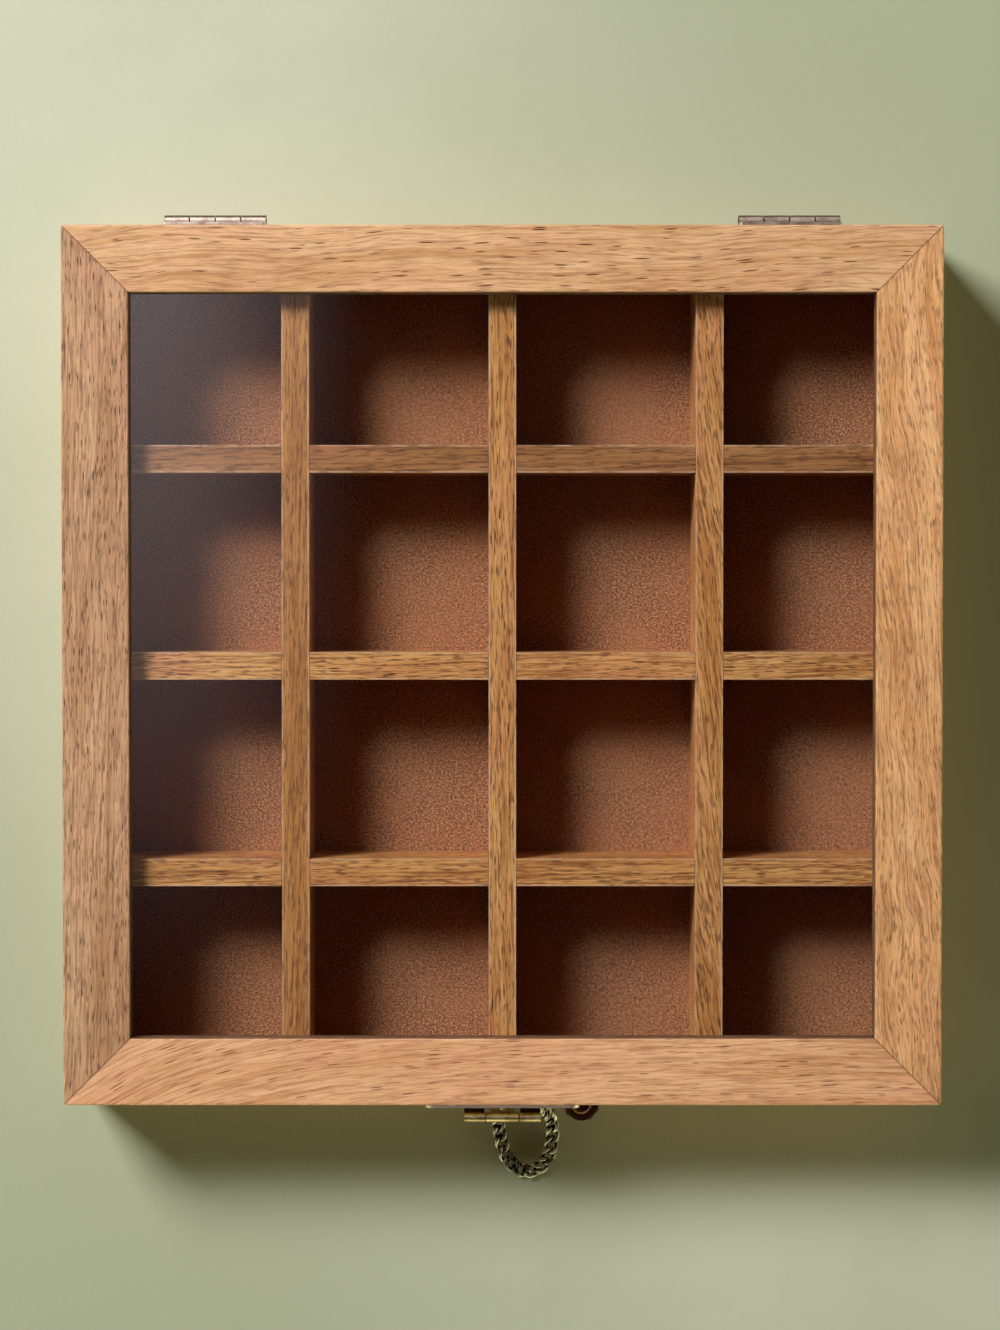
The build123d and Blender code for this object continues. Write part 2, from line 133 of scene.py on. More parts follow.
def spread(tree, value, low, high, outLow=0.0, outHigh=1.0):
    # maps low..high to outLow..outHigh, smoothly and held at the ends
    node = add(tree, "MapRange", {
        "Value": value, "From Min": low, "From Max": high, "To Min": outLow, "To Max": outHigh,
    }, interpolation_type="SMOOTHSTEP")
    return node.outputs[0]


def blendColour(tree, share, first, second, mode="MIX"):
    node = add(tree, "Mix", {0: share, 6: first, 7: second}, data_type="RGBA", blend_type=mode)
    return node.outputs[2]


def noise(tree, vector, scale=1.0, detail=3.0, roughness=0.55):
    node = add(tree, "TexNoise", {
        "Vector": vector, "Scale": scale, "Detail": detail, "Roughness": roughness,
    })
    return node.outputs[0]


def grainNoise(tree, vector, along, across, detail, roughness=0.55):
    # noise that is drawn out along the grain, which runs along X
    place = vectors(tree, "MULTIPLY", vector, (along, across, across))
    return noise(tree, place, detail=detail, roughness=roughness)


def bumps(tree, height, strength, distance):
    node = add(tree, "Bump", {"Height": height, "Strength": strength, "Distance": distance})
    return node.outputs[0]


def newMaterial(name):
    # an empty material, and the tree to build its shader in
    material = bpy.data.materials.new(name)
    material.use_nodes = True
    material.node_tree.nodes.clear()
    return material, material.node_tree


def surface(tree, shader):
    add(tree, "OutputMaterial", {"Surface": shader.outputs[0]})


def newGroup(name, inputs, outputs):
    # an empty shader group with its sockets, and its two end nodes
    tree = bpy.data.node_groups.new(name, "ShaderNodeTree")
    for label, (kind, value) in inputs.items():
        socket = tree.interface.new_socket(name=label, in_out="INPUT", socket_type="NodeSocket" + kind)
        if value is not None:
            socket.default_value = value
    for label, kind in outputs.items():
        tree.interface.new_socket(name=label, in_out="OUTPUT", socket_type="NodeSocket" + kind)
    start = tree.nodes.new("NodeGroupInput")
    end = tree.nodes.new("NodeGroupOutput")
    return tree, start.outputs, end.inputs


def useGroup(tree, group, inputs):
    return add(tree, "Group", inputs, node_tree=group).outputs


# Shader groups: each is built once and used by several materials.

grainLook = dict(
    # noises: how fast each changes, per millimetre along and across the grain
    wander=dict(along=0.014, across=0.035, detail=2.0),
    bands=dict(along=0.010, across=0.17, detail=4.0, roughness=0.6),
    streaks=dict(along=0.045, across=1.15, detail=3.0, roughness=0.65),
    threads=dict(along=0.12, across=3.4, detail=2.0, roughness=0.7),
    clouds=dict(along=0.022, across=0.06, detail=2.0),
    # ripple: the wood's figure, drawn as painted sheen in light and dark bands across the grain
    ripple=dict(along=0.13, across=0.05, detail=3.0),
    # masks: where in its noise each starts and is full, then its least and its most
    middleMask=(0.36, 0.66, 0.0, 1.0),
    blushMask=(0.46, 0.72, 0.0, 0.75),
    streakMask=(0.44, 0.68, 0.0, 0.72),
    threadMask=(0.46, 0.70, 0.0, 0.62),
    sweepFrom=-150.0,               # the end of a board where its grain sweeps most
    smooth=0.44, streaky=0.16,      # roughness, and how much the streaks add
    threadHeight=0.35,              # beside the depth of a pore
)
poreLook = dict(
    crowding=(0.30, 0.62, 0.45, 1.25),          # the darker bands hold more pores
    reach=0.20, reachSpread=0.24,               # size of a pore, as a share of its cell
    core=0.50,                                  # how much of it is full depth
    depth=0.5, depthSpread=0.5,
    dashes=dict(along=1.25, across=1.15, detail=1.0, roughness=0.4),    # per cell
    dashMask=(0.55, 0.68),
    roughness=0.3,
)


def makeWoodGrain(look, pores):
    # Open-pored wood. Vector is in millimetres with the grain along X.
    tree, start, end = newGroup("woodGrain", {
        "Vector": ("Vector", None), "Offset": ("Vector", None),
        "Slant": ("Float", 0.0), "Sweep": ("Float", 0.0), "Sweep Length": ("Float", 50.0),
        "Wave": ("Float", 1.5), "Figure Sheen": ("Float", 0.1), "Contrast": ("Float", 1.0),
        "Pore Length": ("Float", 8.0), "Pore Width": ("Float", 0.8), "Pore Amount": ("Float", 0.6),
        "Dashes": ("Float", 0.5),
        "Pale": ("Color", None), "Middle": ("Color", None), "Deep": ("Color", None),
        "Blush": ("Color", None), "Pore": ("Color", None),
    }, {"Color": "Color", "Roughness": "Float", "Height": "Float"})

    # the grain leans, wanders and sweeps across the board
    axes = split(tree, start["Vector"])
    fromEnd = sums(tree, "SUBTRACT", axes[0], look["sweepFrom"])
    dying = sums(tree, "MULTIPLY", sums(tree, "DIVIDE", fromEnd, start["Sweep Length"]), -1.0)
    swept = sums(tree, "MULTIPLY", sums(tree, "EXPONENT", dying), start["Sweep"])
    leaning = sums(tree, "MULTIPLY", axes[0], start["Slant"])
    wander = grainNoise(tree, vectors(tree, "ADD", start["Vector"], start["Offset"]), **look["wander"])
    wavy = sums(tree, "MULTIPLY", sums(tree, "SUBTRACT", wander, 0.5), start["Wave"])
    across = sums(tree, "ADD", sums(tree, "SUBTRACT", axes[1], leaning), sums(tree, "ADD", swept, wavy))
    fibre = vectors(tree, "ADD", joined(tree, axes[0], across, axes[2]), start["Offset"])

    bands = grainNoise(tree, fibre, **look["bands"])
    streaks = grainNoise(tree, fibre, **look["streaks"])
    threads = grainNoise(tree, fibre, **look["threads"])
    clouds = grainNoise(tree, fibre, **look["clouds"])
    ripple = grainNoise(tree, fibre, **look["ripple"])

    deepStreaks = sums(tree, "MULTIPLY", spread(tree, streaks, *look["streakMask"]), start["Contrast"])
    deepThreads = sums(tree, "MULTIPLY", spread(tree, threads, *look["threadMask"]), start["Contrast"])
    colour = blendColour(tree, spread(tree, bands, *look["middleMask"]), start["Pale"], start["Middle"])
    colour = blendColour(tree, spread(tree, clouds, *look["blushMask"]), colour, start["Blush"])
    colour = blendColour(tree, deepStreaks, colour, start["Deep"])
    colour = blendColour(tree, deepThreads, colour, start["Deep"])
    # painted sheen: the ripple figure makes the colour lighter and darker in bands across the grain
    shade = sums(tree, "MULTIPLY_ADD", sums(tree, "SUBTRACT", ripple, 0.5), start["Figure Sheen"], 1.0)
    colour = blendColour(tree, 1.0, colour, joined(tree, shade, shade, shade), "MULTIPLY")

    # pores: long soft ones, one to a cell, and a crowd of fainter short dashes
    perLength = sums(tree, "DIVIDE", 1.0, start["Pore Length"])
    perWidth = sums(tree, "DIVIDE", 1.0, start["Pore Width"])
    cells = vectors(tree, "MULTIPLY", fibre, joined(tree, perLength, perWidth, perWidth))
    cell = add(tree, "TexVoronoi", {"Vector": cells, "Scale": 1.0, "Randomness": 1.0}).outputs
    chance = split(tree, cell["Color"])
    crowd = sums(tree, "MULTIPLY", spread(tree, bands, *pores["crowding"]), start["Pore Amount"])
    kept = sums(tree, "LESS_THAN", chance[0], crowd)
    reach = sums(tree, "MULTIPLY_ADD", chance[1], pores["reachSpread"], pores["reach"])
    shape = spread(tree, sums(tree, "DIVIDE", cell["Distance"], reach), 1.0, pores["core"])
    depth = sums(tree, "MULTIPLY_ADD", chance[2], pores["depthSpread"], pores["depth"])
    long = sums(tree, "MULTIPLY", sums(tree, "MULTIPLY", shape, kept), depth)
    short = spread(tree, grainNoise(tree, cells, **pores["dashes"]), *pores["dashMask"])
    pore = sums(tree, "MAXIMUM", long, sums(tree, "MULTIPLY", short, start["Dashes"]))
    tree.links.new(blendColour(tree, pore, colour, start["Pore"]), end["Color"])

    rough = sums(tree, "MULTIPLY_ADD", streaks, look["streaky"], look["smooth"])
    tree.links.new(sums(tree, "MULTIPLY_ADD", pore, pores["roughness"], rough), end["Roughness"])
    raised = sums(tree, "MULTIPLY", threads, look["threadHeight"])
    tree.links.new(sums(tree, "SUBTRACT", raised, pore), end["Height"])
    return tree


smudgeLook = dict(
    patches=dict(detail=4.0, roughness=0.6), patchMask=(0.38, 0.66),
    grit=dict(detail=3.0, roughness=0.7), gritMask=(0.36, 0.68),
)


def makeSmudges(look):
    # slow and fine unevenness from handling, as two masks
    tree, start, end = newGroup("smudges", {
        "Vector": ("Vector", None), "Slow": ("Float", 0.05), "Fine": ("Float", 0.8),
    }, {"Patches": "Float", "Grit": "Float"})
    patches = noise(tree, start["Vector"], start["Slow"], **look["patches"])
    grit = noise(tree, start["Vector"], start["Fine"], **look["grit"])
    tree.links.new(spread(tree, patches, *look["patchMask"]), end["Patches"])
    tree.links.new(spread(tree, grit, *look["gritMask"]), end["Grit"])
    return tree


woodGrain = makeWoodGrain(grainLook, poreLook)
smudges = makeSmudges(smudgeLook)
print("shader groups built")


def millimetres(tree, along="X"):
    # the piece's own place in millimetres, turned so that the grain runs along X
    where = add(tree, "TexCoord").outputs["Object"]
    where = vectors(tree, "MULTIPLY", where, (1 / mm, 1 / mm, 1 / mm))
    if along == "X":
        return where
    axes = split(tree, where)
    return joined(tree, axes[1], axes[0], axes[2])


def facingUp(tree):
    # the height of the piece's own surface normal: 1 on top, 0 on upright faces
    return split(tree, add(tree, "TexCoord").outputs["Normal"])[2]


def smudged(tree, where, patches, grit):
    # the two masks, with patches and grit per millimetre
    return useGroup(tree, smudges, {"Vector": where, "Slow": patches, "Fine": grit})


def dress(name, material):
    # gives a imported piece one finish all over
    piece = nodes[name]
    piece.data.materials.clear()
    piece.data.materials.append(material)
    for face in piece.data.polygons:
        face.material_index = 0


def extent(name):
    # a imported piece's box in millimetres: its low corner and its high one
    return [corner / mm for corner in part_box(name)]


# Wood: every rail, wall and divider is cut from its own board, so each has its own grain.

backRailTones = dict(
    pale=(235, 184, 135), middle=(212, 156, 103), deep=(154, 95, 49), blush=(228, 169, 124),
    pore=(98, 50, 20),
)
frontRailTones = dict(
    pale=(243, 185, 136), middle=(221, 157, 105), deep=(164, 101, 56), blush=(239, 171, 128),
    pore=(108, 56, 27),
)
leftRailTones = dict(
    pale=(208, 161, 120), middle=(184, 134, 92), deep=(120, 72, 40), blush=(203, 148, 112),
    pore=(76, 38, 18),
)
rightRailTones = dict(
    pale=(244, 185, 128), middle=(220, 156, 97), deep=(154, 91, 44), blush=(236, 171, 120),
    pore=(90, 42, 15),
)
caseTones = dict(
    pale=(212, 164, 120), middle=(190, 142, 98), deep=(142, 94, 58), blush=(206, 156, 120),
    pore=(98, 58, 34),
)
dividerTones = dict(
    pale=(234, 170, 104), middle=(205, 136, 72), deep=(140, 72, 26), blush=(228, 149, 98),
    pore=(78, 32, 8),
)
leftDividerTones = dict(
    pale=(210, 144, 82), middle=(186, 121, 62), deep=(134, 78, 34), blush=(198, 131, 78),
    pore=(96, 50, 18),
)
backDividerTones = dict(
    pale=(186, 126, 78), middle=(160, 103, 56), deep=(116, 67, 32), blush=(184, 114, 79),
    pore=(82, 41, 16),
)
railGrain = dict(length=9.0, width=0.80, amount=0.40, dashes=0.26, contrast=0.76)
mottledGrain = dict(length=5.5, width=0.78, amount=0.46, dashes=0.40, contrast=0.80)
dividerGrain = dict(length=6.5, width=0.80, amount=0.60, dashes=0.62, contrast=1.20)

acrossBox = dict(along="X", grain=railGrain)
upBox = dict(along="Y", grain=railGrain)
sideRail = dict(along="Y", grain=mottledGrain, figureSheen=0.46)
longDivider = dict(along="Y", grain=dividerGrain)
crossDivider = dict(along="X", grain=dividerGrain)
woodPieces = {          # their order gives each board its own grain
    "lid_rail_back": dict(acrossBox, tones=backRailTones, slant=0.03, wave=9.0, figureSheen=0.14),
    "lid_rail_front": dict(acrossBox, tones=frontRailTones, sweep=40.0, wave=5.0, figureSheen=0.14),
    "lid_rail_left": dict(sideRail, tones=leftRailTones, slant=0.02, wave=3.0),
    "lid_rail_right": dict(sideRail, tones=rightRailTones, slant=-0.09, wave=16.0),
    "case_wall_back": dict(acrossBox, tones=caseTones, slant=0.02, wave=6.0),
    "case_wall_front": dict(acrossBox, tones=caseTones, slant=-0.03, wave=5.0),
    "case_wall_left": dict(upBox, tones=caseTones, slant=0.04, wave=7.0),
    "case_wall_right": dict(upBox, tones=caseTones, slant=-0.02, wave=4.0),
    "divider_long_left": dict(longDivider, tones=leftDividerTones, slant=0.02),
    "divider_long_middle": dict(longDivider, tones=dividerTones, slant=-0.03),
    "divider_long_right": dict(longDivider, tones=dividerTones, slant=-0.14, wave=8.0),
    "divider_cross_front": dict(crossDivider, tones=dividerTones, slant=0.02),
    "divider_cross_middle": dict(crossDivider, tones=dividerTones, slant=0.01),
    "divider_cross_back": dict(crossDivider, tones=backDividerTones, slant=0.03),
}
boardLook = dict(
    shift=(413.0, 57.3, 31.7),      # from one board's grain to the next one's
    sweepLength=55.0,
    shine=0.35, bump=0.5, bumpDepth=0.00012,
)
lineLook = dict(        # dark lines: where each ends and where it is full, out from its edge
    mitre=dict(reach=0.42, full=0.08, most=0.72, colour=(74, 42, 24)),
    # the seam line is painted shade in the gap between lid and case
    seamShade=dict(reach=0.38, full=0.12, most=0.75, colour=(62, 36, 20)),
    # the glass line is painted shade along the rails' inner edges
    glass=dict(reach=0.50, full=0.0, most=0.85, colour=(62, 30, 12)),
    lap=dict(reach=0.35, full=0.10, most=0.75, colour=(58, 32, 16)),
    upright=(0.7, 0.4),             # the seam is only on faces that hardly look up or down
)
edgeHighlightLook = dict(      # painted highlight: pale edges along the tops of the dividers, where they catch the light
    fromSide=(0.7, 0.2), fromTop=(0.8, 0.3),    # where they start and are full
    patches=0.16, patchMask=(0.36, 0.62, 0.15, 0.75),
    colour=(222, 178, 142),
)


def darkLine(tree, distance, look, edge=0.0):
    # a mask that is full at an edge and gone a little further out
    return spread(tree, distance, edge + look["reach"], edge + look["full"], 0.0, look["most"])


def jointLinesAndSeamShade(tree, where, colour):
    # a fine dark line down each mitre, and painted shade in the gap where the lid meets the case
    axes = split(tree, where)
    along, across = sums(tree, "ABSOLUTE", axes[0]), sums(tree, "ABSOLUTE", axes[1])
    mitre = darkLine(tree, apart(tree, along, across), lineLook["mitre"])
    colour = blendColour(tree, mitre, colour, paint(*lineLook["mitre"]["colour"]))
    upright = spread(tree, sums(tree, "ABSOLUTE", facingUp(tree)), *lineLook["upright"])
    caseTop = extent("case_wall_front")[1].z
    # painted shade: a dark line in the gap where the lid meets the case
    seamShade = sums(tree, "MULTIPLY", darkLine(tree, apart(tree, axes[2], caseTop), lineLook["seamShade"]), upright)
    return blendColour(tree, seamShade, colour, paint(*lineLook["seamShade"]["colour"]))


def glassEdgeShade(tree, where, colour):
    # painted shade along the rails' inner edges by the glass, where their inner faces fall dark
    across = sums(tree, "ABSOLUTE", split(tree, where)[1])
    railInside = extent("lid_rail_right")[0].x
    edgeShade = darkLine(tree, across, lineLook["glass"], railInside)
    return blendColour(tree, edgeShade, colour, paint(*lineLook["glass"]["colour"]))


def dividerHighlightsAndLaps(tree, where, colour, name, along):
    # painted highlight along the top edges, and dark joint lines at the half-laps
    side = 1 if along == "X" else 0
    low, high = extent(name)
    middle, half = (low[side] + high[side]) / 2, (high[side] - low[side]) / 2
    axes = split(tree, where)
    fromSide, fromTop = edgeHighlightLook["fromSide"], edgeHighlightLook["fromTop"]
    paintedHighlight = sums(
        tree, "MULTIPLY",
        spread(tree, apart(tree, axes[1], middle), *[half - inset for inset in fromSide]),
        spread(tree, axes[2], *[high.z - drop for drop in fromTop]),
    )
    highlightPatchNoise = noise(tree, where, edgeHighlightLook["patches"], detail=2.0)
    paintedHighlight = sums(tree, "MULTIPLY", paintedHighlight, spread(tree, highlightPatchNoise, *edgeHighlightLook["patchMask"]))
    # painted highlight along the dividers' top edges
    colour = blendColour(tree, paintedHighlight, colour, paint(*edgeHighlightLook["colour"]))
    if along == "Y":
        return colour
    low, high = extent("divider_long_right")
    pitch = (low.x + high.x) / 2
    lap = darkLine(tree, sums(tree, "PINGPONG", axes[0], pitch / 2), lineLook["lap"], half)
    return blendColour(tree, lap, colour, paint(*lineLook["lap"]["colour"]))


def woodMaterial(name, number, along, tones, grain, slant=0.0, sweep=0.0, wave=2.0, figureSheen=0.16):
    material, tree = newMaterial("wood_" + name)
    where = millimetres(tree, along)
    wood = useGroup(tree, woodGrain, {
        "Vector": where, "Offset": [number * shift for shift in boardLook["shift"]],
        "Slant": slant, "Sweep": sweep, "Sweep Length": boardLook["sweepLength"],
        "Wave": wave, "Figure Sheen": figureSheen, "Contrast": grain["contrast"],
        "Pore Length": grain["length"], "Pore Width": grain["width"],
        "Pore Amount": grain["amount"], "Dashes": grain["dashes"],
        "Pale": paint(*tones["pale"]), "Middle": paint(*tones["middle"]),
        "Deep": paint(*tones["deep"]), "Blush": paint(*tones["blush"]), "Pore": paint(*tones["pore"]),
    })
    colour = wood["Color"]
    if name.startswith("divider"):
        colour = dividerHighlightsAndLaps(tree, where, colour, name, along)
    else:
        colour = jointLinesAndSeamShade(tree, where, colour)
    if name.startswith("lid_rail"):
        colour = glassEdgeShade(tree, where, colour)
    surface(tree, add(tree, "BsdfPrincipled", {
        "Base Color": colour, "Roughness": wood["Roughness"],
        "Specular IOR Level": boardLook["shine"],
        "Normal": bumps(tree, wood["Height"], boardLook["bump"], boardLook["bumpDepth"]),
    }))
    return material


for number, (name, look) in enumerate(woodPieces.items(), 1):
    dress(name, woodMaterial(name, number, **look))
print("wood done:", len(woodPieces), "boards")


# Base: brown fibre board, the same inside the compartments and underneath.

baseLook = dict(
    light=(216, 162, 122), middle=(180, 119, 81), dark=(104, 62, 40),
    clouds=0.035, flecks=1.7,       # per millimetre
    hairStretch=(0.8, 1.1, 1.0),
    hairs=dict(scale=1.5, detail=3.0, roughness=0.8),
    lightMask=(0.48, 0.66), darkMask=(0.44, 0.34, 0.0, 0.7), cloudMask=(0.0, 1.0, 0.0, 0.3),
    roughMask=(0.3, 0.7, 0.9, 0.7),
    shine=0.25, bump=0.35, bumpDepth=0.00015,
)


def baseMaterial(look):
    material, tree = newMaterial("fibre_board")
    where = millimetres(tree)
    marks = smudged(tree, where, look["clouds"], look["flecks"])
    hairs = noise(tree, vectors(tree, "MULTIPLY", where, look["hairStretch"]), **look["hairs"])
    colour = blendColour(tree, marks["Grit"], paint(*look["dark"]), paint(*look["middle"]))
    colour = blendColour(tree, spread(tree, hairs, *look["lightMask"]), colour, paint(*look["light"]))
    colour = blendColour(tree, spread(tree, hairs, *look["darkMask"]), colour, paint(*look["dark"]))
    clouds = spread(tree, marks["Patches"], *look["cloudMask"])
    colour = blendColour(tree, clouds, colour, paint(*look["middle"]))
    surface(tree, add(tree, "BsdfPrincipled", {
        "Base Color": colour, "Roughness": spread(tree, hairs, *look["roughMask"]),
        "Specular IOR Level": look["shine"],
        "Normal": bumps(tree, marks["Grit"], look["bump"], look["bumpDepth"]),
    }))
    return material


dress("base_panel", baseMaterial(baseLook))
print("base done")


# Glass: clear sheet with a trace of dust. Lamps reach what lies under it.

glassLook = dict(
    tint=(250, 252, 250), ior=1.5, roughness=0.02, dust=0.05,
    patches=0.012, grit=0.4,            # per millimetre
    passing=(0.93, 0.94, 0.93, 1),      # what it leaves of the light on its way in
)


def glassMaterial(look):
    material, tree = newMaterial("lid_glass")
    marks = smudged(tree, millimetres(tree), look["patches"], look["grit"])
    glass = add(tree, "BsdfPrincipled", {
        "Base Color": paint(*look["tint"]), "Transmission Weight": 1.0, "IOR": look["ior"],
        "Roughness": sums(tree, "MULTIPLY_ADD", marks["Patches"], look["dust"], look["roughness"]),
    })
    clear = add(tree, "BsdfTransparent", {"Color": look["passing"]})
    path = add(tree, "LightPath").outputs
    straight = sums(tree, "MAXIMUM", path["Is Shadow Ray"], path["Is Diffuse Ray"])
    surface(tree, add(tree, "MixShader", {0: straight, 1: glass.outputs[0], 2: clear.outputs[0]}))
    return material


dress("glass_pane", glassMaterial(glassLook))
print("glass done")


# Metal: brass with tarnished spots, with painted shade in its joints and recesses and on its shaded sides,
# and painted highlights along some edges and rims.

metalLooks = dict(
    hinge=dict(bright=(226, 204, 186), dull=(184, 160, 142), tarnish=(104, 82, 68), roughness=0.30),
    hasp=dict(bright=(222, 196, 146), dull=(174, 143, 94), tarnish=(96, 66, 40), roughness=0.28),
    bronze=dict(bright=(150, 104, 82), dull=(78, 38, 29), tarnish=(34, 15, 11), roughness=0.24),
    links=dict(bright=(214, 200, 172), dull=(46, 33, 25), tarnish=(12, 8, 6), roughness=0.20),
    screw=dict(bright=(214, 180, 120), dull=(168, 130, 80), tarnish=(96, 68, 40), roughness=0.34),
    steel=dict(bright=(176, 172, 166), dull=(128, 124, 120), tarnish=(86, 74, 62), roughness=0.42),
)
metalPieces = dict(
    hinge=("hinge_left_case_leaf", "hinge_left_lid_leaf", "hinge_left_pin",
           "hinge_right_case_leaf", "hinge_right_lid_leaf", "hinge_right_pin"),
    hasp=("hasp_plate", "hasp_pin", "hasp_flap", "staple_plate", "staple"),
    bronze=("lock_pin",),
    screw=("hinge_case_screws", "hinge_lid_screws", "hasp_plate_screws", "staple_plate_screws"),
    steel=("base_panel_brads",),
)
wearLook = dict(
    patches=0.22, grit=2.4,             # per millimetre
    scratches=dict(along=0.35, across=5.0, detail=2.0, roughness=0.8),
    spotMask=(0.2, 1.0, 0.1, 0.5),      # tarnished spots gather where it is dull
    gritRoughness=0.22, scratchRoughness=0.12,
    scratchHeight=0.5, bump=0.25, bumpDepth=0.00005,
)
# The masks in the next three are places where something starts and where it is full.
hingeLook = dict(
    knuckles=4, jointMask=(0.42, 0.15),
    barrelMask=(0.9, 1.3), outerMask=(3.2, 3.5),    # out from the case's back
    # painted shade in the knuckle joints and along the barrel's outer side
    paintedShade=(52, 42, 28), most=0.85,
)
haspLook = dict(
    # out from the case's front
    strapStart=(1.1, 1.5), strapEnd=(3.5, 3.1), barrelOut=(3.0, 3.4),
    plateEdge=(1.1, 1.05), plateRound=(1.0, 0.4),
    # up from the case's top
    barrelUp=(0.0, 0.4), plateTop=(4.6, 4.9),
    jointMask=(0.40, 0.15), lookingUp=(0.2, 0.5),
    # painted shade on the strap and in the joints; painted highlight on the plate's upper edge
    paintedShade=(70, 30, 20), most=0.85, paintedHighlight=(238, 206, 192),
    roundHeight=40.0,       # beside 1 for the grit
)
thumbLook = dict(
    radius=6.3, ringRadius=3.4,
    ringMask=(0.6, 0.3), rimMask=(5.7, 6.0), fromTop=(0.6, 0.2),
    # painted highlight on the ring and the rim
    patches=0.5, patchMask=(0.35, 0.55, 0.25, 1.0), paintedHighlight=(250, 226, 206),
    ringRound=(0.5, 0.0), rimRound=(6.3, 5.7),
    roundHeight=40.0,
)
# painted shade where the chain's links hide each other
linkShadeLook = dict(
    reach=0.0022,           # in metres
    samples=8, mask=(0.94, 0.60), colour=(16, 10, 7),
)


def hingeShade(tree, where, colour):
    # painted shade in the joints between the knuckles and along the outer side of the barrel
    look = hingeLook
    low, high = extent("hinge_right_pin")       # as long as the barrel
    axes = split(tree, where)
    fromMiddle = sums(tree, "SUBTRACT", sums(tree, "ABSOLUTE", axes[0]), (low.x + high.x) / 2)
    fromJoint = sums(tree, "PINGPONG", fromMiddle, (high.x - low.x) / look["knuckles"] / 2)
    out = sums(tree, "SUBTRACT", axes[1], extent("case_wall_back")[1].y)
    barrel = spread(tree, out, *look["barrelMask"])
    joint = sums(tree, "MULTIPLY", spread(tree, fromJoint, *look["jointMask"]), barrel)
    edge = spread(tree, out, *look["outerMask"])
    paintedShade = sums(tree, "MULTIPLY", sums(tree, "MAXIMUM", joint, edge), look["most"])
    return blendColour(tree, paintedShade, colour, paint(*look["paintedShade"]))


def haspPlace(tree, where):
    # how far a place on the hasp is out from the case's front and up from its top
    low, high = extent("case_wall_front")
    axes = split(tree, where)
    return axes[0], sums(tree, "SUBTRACT", low.y, axes[1]), sums(tree, "SUBTRACT", axes[2], high.z)


def haspShadeAndHighlight(tree, where, colour):
    # painted shade on the strap between the lid and the barrel, and in the barrel's joints
    look = haspLook
    aside, out, up = haspPlace(tree, where)
    start, end = spread(tree, out, *look["strapStart"]), spread(tree, out, *look["strapEnd"])
    strap = sums(tree, "MULTIPLY", start, end)
    fromJoint = apart(tree, sums(tree, "ABSOLUTE", aside), extent("hasp_flap")[1].x)
    farOut, highUp = spread(tree, out, *look["barrelOut"]), spread(tree, up, *look["barrelUp"])
    barrel = sums(tree, "MULTIPLY", farOut, highUp)
    joint = sums(tree, "MULTIPLY", spread(tree, fromJoint, *look["jointMask"]), barrel)
    paintedShade = sums(tree, "MULTIPLY", sums(tree, "MAXIMUM", strap, joint), look["most"])
    colour = blendColour(tree, paintedShade, colour, paint(*look["paintedShade"]))
    # and a painted highlight along the plate's upper edge
    facing = spread(tree, facingUp(tree), *look["lookingUp"])
    edge = sums(tree, "MULTIPLY", spread(tree, out, *look["plateEdge"]), facing)
    paintedHighlight = sums(tree, "MULTIPLY", edge, spread(tree, up, *look["plateTop"]))
    return blendColour(tree, paintedHighlight, colour, paint(*look["paintedHighlight"]))


def haspEdges(tree, where, height):
    # the plate's upper edge is rounded over
    look = haspLook
    out, up = haspPlace(tree, where)[1:]
    front, top = spread(tree, out, *look["plateRound"]), spread(tree, up, *look["plateTop"])
    edge = sums(tree, "MULTIPLY", front, top)
    return sums(tree, "MULTIPLY_ADD", edge, look["roundHeight"], height)


def thumbPlace(tree, where):
    # how far a place is from the thumb piece's middle, and from its ring
    low, high = extent("lock_pin")
    middle = (high.x - thumbLook["radius"], low.y + thumbLook["radius"], 0.0)
    flat = vectors(tree, "MULTIPLY", vectors(tree, "SUBTRACT", where, middle), (1.0, 1.0, 0.0))
    radius = measure(tree, "LENGTH", flat)
    return radius, apart(tree, radius, thumbLook["ringRadius"])


def thumbHighlights(tree, where, colour):
    # painted highlight along the thumb piece's ring and its rim
    look = thumbLook
    radius, fromRing = thumbPlace(tree, where)
    top = extent("lock_pin")[1].z
    nearTop = spread(tree, split(tree, where)[2], *[top - drop for drop in look["fromTop"]])
    rim = sums(tree, "MULTIPLY", spread(tree, radius, *look["rimMask"]), nearTop)
    paintedHighlight = sums(tree, "MAXIMUM", spread(tree, fromRing, *look["ringMask"]), rim)
    patchy = spread(tree, noise(tree, where, look["patches"], detail=2.0), *look["patchMask"])
    return blendColour(tree, sums(tree, "MULTIPLY", paintedHighlight, patchy), colour, paint(*look["paintedHighlight"]))


def thumbEdges(tree, where, height):
    # the same two edges are rounded over
    look = thumbLook
    radius, fromRing = thumbPlace(tree, where)
    ring, rim = spread(tree, fromRing, *look["ringRound"]), spread(tree, radius, *look["rimRound"])
    return sums(tree, "MULTIPLY_ADD", sums(tree, "ADD", ring, rim), look["roundHeight"], height)


def linkShade(tree, where, colour):
    # painted shade: the links turn black where they hide each other from the light, and keep their pale
    # colour where they don't
    look = linkShadeLook
    exposed = add(tree, "AmbientOcclusion", {"Distance": look["reach"]}, samples=look["samples"],
                  only_local=True).outputs["AO"]
    return blendColour(tree, spread(tree, exposed, *look["mask"]), colour, paint(*look["colour"]))


metalPaintedLight = dict(hinge=hingeShade, hasp=haspShadeAndHighlight, bronze=thumbHighlights, links=linkShade)
metalEdges = dict(hasp=haspEdges, bronze=thumbEdges)


